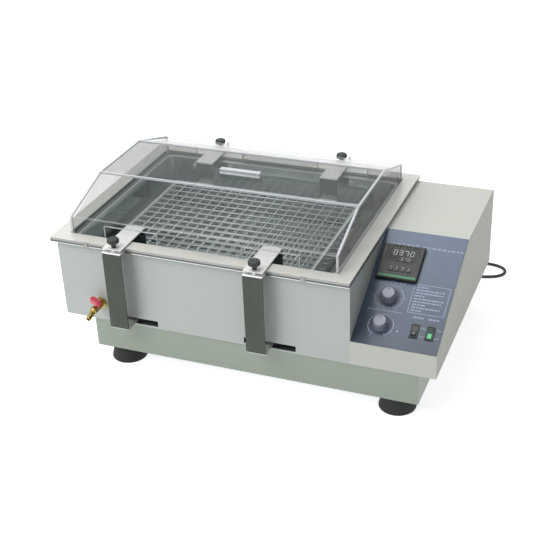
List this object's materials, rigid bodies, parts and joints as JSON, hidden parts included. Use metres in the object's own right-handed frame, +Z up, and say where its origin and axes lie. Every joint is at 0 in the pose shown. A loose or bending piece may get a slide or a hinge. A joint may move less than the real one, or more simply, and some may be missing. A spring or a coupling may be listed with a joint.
{
  "type": "shaking_water_bath",
  "caption": "Bench shaking water bath with a clear lift-off lid, a rack hung from strap clamps and driven from side to side, a sloping control panel, a drain tap and a mains lead",
  "frame": {"origin": "On the table, under the middle of the instrument's plan outline, its mains lead left out", "axes": "+X to the right along the front, from the tank to the control panel; +Y to the back; +Z up"},
  "size_m": [0.7096, 0.6292, 0.3275],
  "materials": {
    "casing_paint": "satin",
    "plinth_paint": "satin",
    "housing_paint": "satin",
    "panel_print": "satin",
    "tank_steel": "brushed",
    "strap_steel": "brushed",
    "hanger_steel": "brushed",
    "zinc_steel": "satin",
    "bright_steel": "polished",
    "brass": "satin",
    "bronze": "satin",
    "black_plastic": "matte",
    "grey_plastic": "matte",
    "white_key": "matte",
    "green_rocker": "gloss",
    "red_plastic": "gloss",
    "green_board": "matte",
    "foam": "matte",
    "clear_sheet": "clear",
    "foot_rubber": "matte",
    "cord_rubber": "matte"
  },
  "bodies": {
    "instrument": {"tub_casing": "casing_paint", "tank": "tank_steel", "tank_insulation": "foam", "deck_plate": "zinc_steel", "plinth_casing": "plinth_paint", "bottom_plate": "zinc_steel", "rubber_feet": "foot_rubber", "control_housing": "housing_paint", "control_panel": "panel_print", "controller_case": "black_plastic", "controller_window": "clear_sheet", "dial_timer": "black_plastic", "speed_potentiometer": "zinc_steel", "switch_bodies": "black_plastic", "rear_cover": "casing_paint", "machine_screws": "bright_steel", "fuse_holder": "black_plastic", "control_board": "green_board", "transformer": "zinc_steel", "heater_element": "bright_steel", "temperature_probe": "bright_steel", "gland_nuts": "brass", "drain_pipe": "tank_steel", "drain_nut": "bright_steel", "drain_valve": "brass", "rim_clips": "bright_steel", "guide_shafts": "bright_steel", "shaft_supports": "zinc_steel", "drive_motor": "black_plastic", "cord_gland": "black_plastic", "power_cord": "cord_rubber", "cord_coil": "cord_rubber", "cord_tie": "black_plastic", "mains_plug": "black_plastic"},
    "lid": {"lid_cover": "clear_sheet", "lid_handle": "clear_sheet"},
    "shaker_carriage": {"carriage_frame": "zinc_steel", "carriage_bushes": "bronze", "clamp_straps": "strap_steel", "rack_hangers": "hanger_steel", "rack_frame": "hanger_steel", "upper_mesh": "hanger_steel", "lower_mesh": "hanger_steel", "carriage_screws": "bright_steel", "clamp_spacers": "bright_steel"},
    "clamp_knob_front_left": {"clamp_knob_front_left": "black_plastic"},
    "clamp_knob_front_right": {"clamp_knob_front_right": "black_plastic"},
    "clamp_knob_rear_left": {"clamp_knob_rear_left": "black_plastic"},
    "clamp_knob_rear_right": {"clamp_knob_rear_right": "black_plastic"},
    "crank": {"crank_wheel": "bright_steel"},
    "rod": {"connecting_rod": "zinc_steel"},
    "timer_dial": {"timer_knob": "grey_plastic"},
    "speed_dial": {"speed_knob": "grey_plastic"},
    "power_switch": {"power_rocker": "green_rocker"},
    "shaker_switch": {"shaker_rocker": "black_plastic"},
    "drain_tap": {"drain_lever": "red_plastic"},
    "key_1": {"controller_key_1": "white_key"},
    "key_2": {"controller_key_2": "white_key"},
    "key_3": {"controller_key_3": "white_key"},
    "key_4": {"controller_key_4": "white_key"}
  },
  "joints": [
    {"name": "lid_lift", "type": "slide", "parent": "instrument", "child": "lid", "axis": [0, 0, 1], "range_m": [0, 0.15]},
    {"name": "shaker_stroke", "type": "slide", "parent": "instrument", "child": "shaker_carriage", "axis": [1, 0, 0], "range_m": [0, 0.028]},
    {"name": "crank_turn", "type": "hinge", "parent": "instrument", "child": "crank", "pos_m": [-0.081, 0.01221, 0.101], "axis": [0, 0, 1], "continuous": true},
    {"name": "rod_swing", "type": "hinge", "parent": "shaker_carriage", "child": "rod", "pos_m": [0.01, 0.01221, 0.1096], "axis": [0, 0, 1], "range_deg": [-8, 8]},
    {"name": "timer_turn", "type": "hinge", "parent": "instrument", "child": "timer_dial", "pos_m": [0.2425, -0.11491, 0.18422], "axis": [0, 0.4405, -0.8978], "range_deg": [0, 330]},
    {"name": "speed_turn", "type": "hinge", "parent": "instrument", "child": "speed_dial", "pos_m": [0.2425, -0.16519, 0.15955], "axis": [0, 0.4405, -0.8978], "range_deg": [-150, 150]},
    {"name": "shaker_switch_rock", "type": "hinge", "parent": "instrument", "child": "shaker_switch", "pos_m": [0.3, -0.16398, 0.15368], "axis": [1, 0, 0], "range_deg": [0, 16]},
    {"name": "power_switch_rock", "type": "hinge", "parent": "instrument", "child": "power_switch", "pos_m": [0.3262, -0.16398, 0.15368], "axis": [1, 0, 0], "range_deg": [-16, 0]},
    {"name": "drain_turn", "type": "hinge", "parent": "instrument", "child": "drain_tap", "pos_m": [-0.263, -0.21979, 0.137], "axis": [0, 0, 1], "range_deg": [-61, 29]},
    {"name": "knob_front_left_turn", "type": "hinge", "parent": "shaker_carriage", "child": "clamp_knob_front_left", "pos_m": [-0.2155, -0.21579, 0.256], "axis": [0, 0, 1], "continuous": true},
    {"name": "knob_front_right_turn", "type": "hinge", "parent": "shaker_carriage", "child": "clamp_knob_front_right", "pos_m": [0.0435, -0.21579, 0.256], "axis": [0, 0, 1], "continuous": true},
    {"name": "knob_rear_left_turn", "type": "hinge", "parent": "shaker_carriage", "child": "clamp_knob_rear_left", "pos_m": [-0.2155, 0.24021, 0.256], "axis": [0, 0, 1], "continuous": true},
    {"name": "knob_rear_right_turn", "type": "hinge", "parent": "shaker_carriage", "child": "clamp_knob_rear_right", "pos_m": [0.0435, 0.24021, 0.256], "axis": [0, 0, 1], "continuous": true},
    {"name": "key_1_press", "type": "slide", "parent": "instrument", "child": "key_1", "axis": [0, 0.4405, -0.8978], "range_m": [0, 0.0008], "stiffness_N_per_m": 400, "springref_m": -0.0005},
    {"name": "key_2_press", "type": "slide", "parent": "instrument", "child": "key_2", "axis": [0, 0.4405, -0.8978], "range_m": [0, 0.0008], "stiffness_N_per_m": 400, "springref_m": -0.0005},
    {"name": "key_3_press", "type": "slide", "parent": "instrument", "child": "key_3", "axis": [0, 0.4405, -0.8978], "range_m": [0, 0.0008], "stiffness_N_per_m": 400, "springref_m": -0.0005},
    {"name": "key_4_press", "type": "slide", "parent": "instrument", "child": "key_4", "axis": [0, 0.4405, -0.8978], "range_m": [0, 0.0008], "stiffness_N_per_m": 400, "springref_m": -0.0005}
  ]
}
